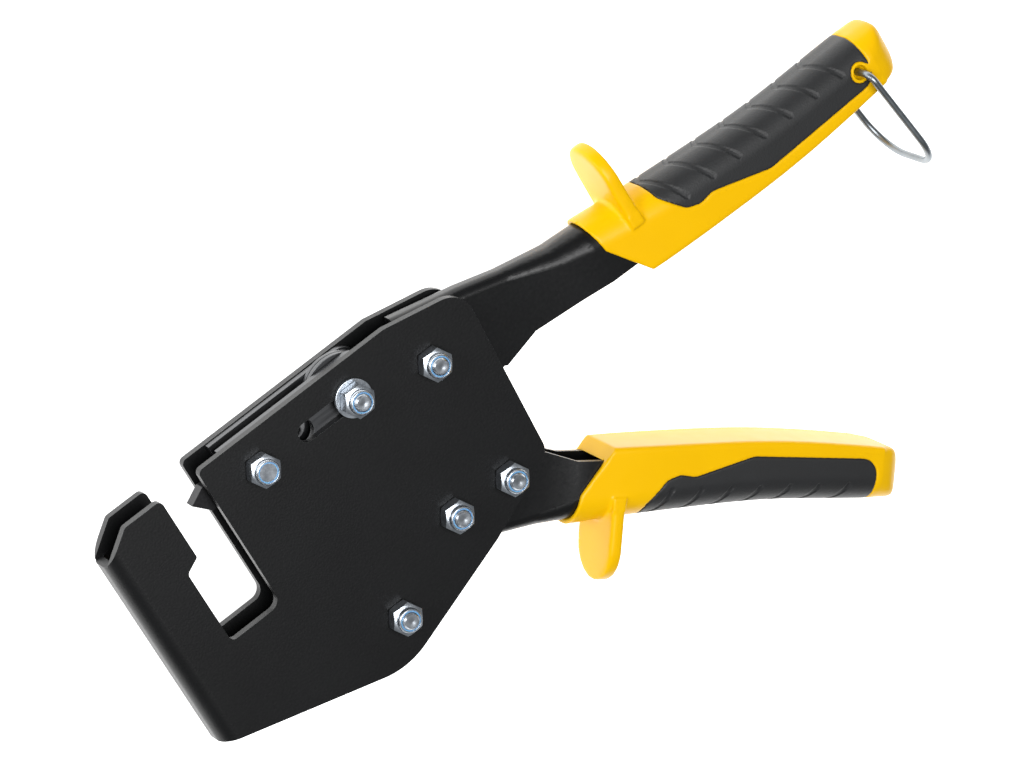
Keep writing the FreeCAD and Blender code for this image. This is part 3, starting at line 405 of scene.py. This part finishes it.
# Thermoplastic elastomer: soft-touch charcoal with a fine spark-eroded grain.
soft_elastomer, tree, shader, place = new_finish(
    "soft_charcoal_elastomer", Roughness=0.55, IOR=1.5, Sheen_Weight=0.12,
    Sheen_Roughness=0.4)
cloud = add(tree, "TexNoise", {"Scale": per_mm(12), "Detail": 4.0}, Vector=place)
tint = add(tree, "MixRGB", {"Color1": colour("#121314"), "Color2": colour("#1B1C1E")},
           Fac=cloud.outputs["Fac"])
grain = add(tree, "TexNoise", {"Scale": per_mm(0.55), "Detail": 2.0}, Vector=place)
gloss = add(tree, "MapRange", {"To Min": 0.44, "To Max": 0.66}, Value=grain.outputs["Fac"])
peel = add(tree, "Bump", {"Strength": 0.35, "Distance": 0.0002}, Height=grain.outputs["Fac"])
tree.links.new(tint.outputs["Color"], shader.inputs["Base Color"])
tree.links.new(gloss.outputs["Result"], shader.inputs["Roughness"])
tree.links.new(peel.outputs["Normal"], shader.inputs["Normal"])

for side, body, axes in (("lever", "lever", lever_axes), ("fixed", "head", fixed_axes)):
    shell = moulded(f"{side}_grip_shell", shell_grid, shell_passes)
    shell = soften(shell, axes, on_guard, guard_passes)
    shell = soften(shell, axes, on_tail, tail_passes)
    show(f"{side}_shell", shell, [yellow_abs], body, [f"{side}_grip_shell"],
         flat_faces=False)
    show(f"{side}_pad", press_grooves(moulded(f"{side}_grip_pad", pad_grid, pad_passes), axes),
         [soft_elastomer], body, [f"{side}_grip_pad"], flat_faces=False)

# Bolts. Five M6 hexagon bolts go up through the head from the far side, and a sixth through
# the slot carries the slide. Zinc plated, with cut threads showing past the nuts.
across_flats = 10.0
corner_circle = 9.6
head_high = 4.0
thread_radius, thread_root, thread_pitch = 2.98, 2.62, 1.0
face = 8.25
plain_bolts = ((2.1, -49.3), (-20.0, -47.6), (-52.4, -65.0))
guide_spot, slide_spot = (-65.7, 7.3), (-28.3, 7.3)
turn_steps = 72


def turned(rings, centre):
    """Solid of rings round a vertical axis; each ring is (radius, height, hexagonal)."""
    work = bmesh.new()
    rows = []
    for radius, height, hexagonal in rings:
        row = []
        for k in range(turn_steps):
            angle = 2 * math.pi * k / turn_steps
            r, z = radius, height
            if hexagonal:
                r = across_flats / 2 / math.cos((angle % (math.pi / 3)) - math.pi / 6)
                z -= hexagonal * max(r - corner_circle / 2, 0) * math.tan(math.radians(30))
            row.append(work.verts.new(
                centre + Vector((r * math.cos(angle), r * math.sin(angle), z)) / 1000))
        rows.append(row)
    for low, high in zip(rows, rows[1:]):
        for k in range(turn_steps):
            n = (k + 1) % turn_steps
            work.faces.new((low[k], low[n], high[n], high[k]))
    for row in (rows[0], rows[-1]):
        if (row[0].co - centre).xy.length > 0:
            work.faces.new(row)
    bmesh.ops.recalc_face_normals(work, faces=work.faces)
    return work


def bolt_rings(head_top, end):
    """Rings of a hexagon bolt, from its head's far face up to its chamfered end."""
    low = head_top - head_high
    rings = [(3.4, low + 0.12, 0), (4.4, low, 0), (0, low, -1), (0, head_top - 0.25, 0),
             (4.6, head_top - 0.2, 0), (4.5, head_top, 0), (2.98, head_top, 0)]
    z = end - 0.7 - thread_pitch * 4
    rings.append((thread_radius, z - 0.1, 0))
    while z < end - 0.7:
        rings += [(thread_root, z + 0.25, 0), (thread_root, z + 0.38, 0),
                  (thread_radius, z + 0.8, 0), (thread_radius, z + 0.95, 0)]
        z += thread_pitch
    return rings + [(thread_root, end - 0.35, 0), (2.35, end, 0), (0.9, end + 0.02, 0),
                    (0.5, end - 0.1, 0)]


# Bright zinc plate: pale, slightly blue, passivated, with a soft uneven gloss.
zinc_plate, tree, shader, place = new_finish("bright_zinc_plate", Metallic=1.0, Roughness=0.28)
cloud = add(tree, "TexNoise", {"Scale": per_mm(2.6), "Detail": 4.0}, Vector=place)
tint = add(tree, "MixRGB", {"Color1": colour("#A9B0B8"), "Color2": colour("#CDD3DA")},
           Fac=cloud.outputs["Fac"])
gloss = add(tree, "MapRange", {"To Min": 0.2, "To Max": 0.42}, Value=cloud.outputs["Fac"])
tree.links.new(tint.outputs["Color"], shader.inputs["Base Color"])
tree.links.new(gloss.outputs["Result"], shader.inputs["Roughness"])

nut_high, collar_high, past_nut = 4.7, 1.9, 0.9
nut_top = face + nut_high + collar_high
washer_thick, slide_play = 1.5, 0.1
washer_top = face + slide_play + washer_thick


def join(works):
    """One working mesh from several."""
    whole = bmesh.new()
    for work in works:
        mesh = bpy.data.meshes.new("part")
        work.to_mesh(mesh)
        work.free()
        whole.from_mesh(mesh)
        bpy.data.meshes.remove(mesh)
    return whole


show("plain_bolt_set", join([turned(bolt_rings(-face, nut_top + past_nut), from_pivot(*spot))
                             for spot in plain_bolts]),
     [zinc_plate], "head", ["head_bolts"])
show("pivot_bolt_m6", turned(bolt_rings(-face, nut_top + past_nut), from_pivot(0, 0)),
     [zinc_plate], "head", ["pivot_bolt"])
show("guide_bolt_m6", turned(bolt_rings(-face, nut_top - 1.3), from_pivot(*guide_spot)),
     [zinc_plate], "head", ["guide_bolt"])
show("slide_bolt_m6", turned(bolt_rings(-washer_top, washer_top + 7.5),
                             from_pivot(*slide_spot)),
     [zinc_plate], "slide", ["slide_bolt"])

# Lock nuts. Zinc-plated steel hexagons, chamfered at both ends. Each has a collar rolled
# over a blue nylon ring, which the thread presses into so that the nut can't shake loose.


def nut_rings(seat):
    """Rings of a lock nut from its seat up over the collar and down to the nylon ring."""
    top = seat + nut_high
    crown = top + collar_high
    return [(3.0, seat, 0), (4.5, seat, 0), (0, seat + 0.15, -1), (0, top, 1),
            (4.75, top, 0), (4.2, top + 0.1, 0), (4.2, top + 0.9, 0), (4.12, crown - 0.5, 0),
            (3.9, crown - 0.12, 0), (3.7, crown, 0), (3.52, crown - 0.05, 0),
            (3.45, crown - 0.3, 0), (3.0, crown - 0.32, 0)]


def ring_rings(seat):
    """Rings of the nylon ring, a little domed where the bolt has come through it."""
    crown = seat + nut_high + collar_high
    return [(3.44, crown - 1.0, 0), (3.44, crown - 0.3, 0), (3.25, crown - 0.2, 0),
            (3.02, crown - 0.26, 0), (3.0, crown - 1.0, 0)]


# Nylon: translucent blue, waxy, slightly rough where the thread has pressed it.
blue_nylon, tree, shader, place = new_finish(
    "blue_nylon", Roughness=0.4, IOR=1.53, Subsurface_Weight=0.2, Subsurface_Scale=0.001)
press = add(tree, "TexNoise", {"Scale": per_mm(0.8), "Detail": 2.0}, Vector=place)
tint = add(tree, "MixRGB", {"Color1": colour("#4C86B8"), "Color2": colour("#7FB0D6")},
           Fac=press.outputs["Fac"])
tree.links.new(tint.outputs["Color"], shader.inputs["Base Color"])

nut_sets = (("plain", plain_bolts, face, "head", "head_nuts", "head_nut_inserts"),
            ("pivot", ((0, 0),), face, "head", "pivot_nut", "pivot_nut_insert"),
            ("guide", (guide_spot,), face, "head", "guide_nut", "guide_nut_insert"),
            ("slide", (slide_spot,), washer_top, "slide", "slide_nut", "slide_nut_insert"))
for name, spots, seat, body, nut_node, ring_node in nut_sets:
    show(f"{name}_lock_nut", join([turned(nut_rings(seat), from_pivot(*s)) for s in spots]),
         [zinc_plate], body, [nut_node])
    show(f"{name}_nylon_ring", join([turned(ring_rings(seat), from_pivot(*s)) for s in spots]),
         [blue_nylon], body, [ring_node])

# Slide washers. Two stamped 1.5 mm washers, zinc plated, one under the slide bolt's head and
# one under its nut. They bridge the head's slot, and slide along it with the bolt.
show("slide_washer_pair", break_edges(copy_of("slide_washers"), 0.25), [zinc_plate], "slide",
     ["slide_washers"])

# Bail. A loop of 2.4 mm zinc-plated wire snaps into the two eyes at the end of the lever's
# grip, and drops over the other grip to lock the handles. It keeps the CAD shape.

# Dull zinc: barrel-plated wire, greyer and rougher than the bolts.
dull_zinc, tree, shader, place = new_finish("dull_zinc_wire", Metallic=1.0, Roughness=0.36)
cloud = add(tree, "TexNoise", {"Scale": per_mm(4), "Detail": 4.0}, Vector=place)
tint = add(tree, "MixRGB", {"Color1": colour("#747A7F"), "Color2": colour("#9AA0A5")},
           Fac=cloud.outputs["Fac"])
gloss = add(tree, "MapRange", {"To Min": 0.28, "To Max": 0.48}, Value=cloud.outputs["Fac"])
tree.links.new(tint.outputs["Color"], shader.inputs["Base Color"])
tree.links.new(gloss.outputs["Result"], shader.inputs["Roughness"])
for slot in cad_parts["bail"].material_slots:
    slot.material = dull_zinc
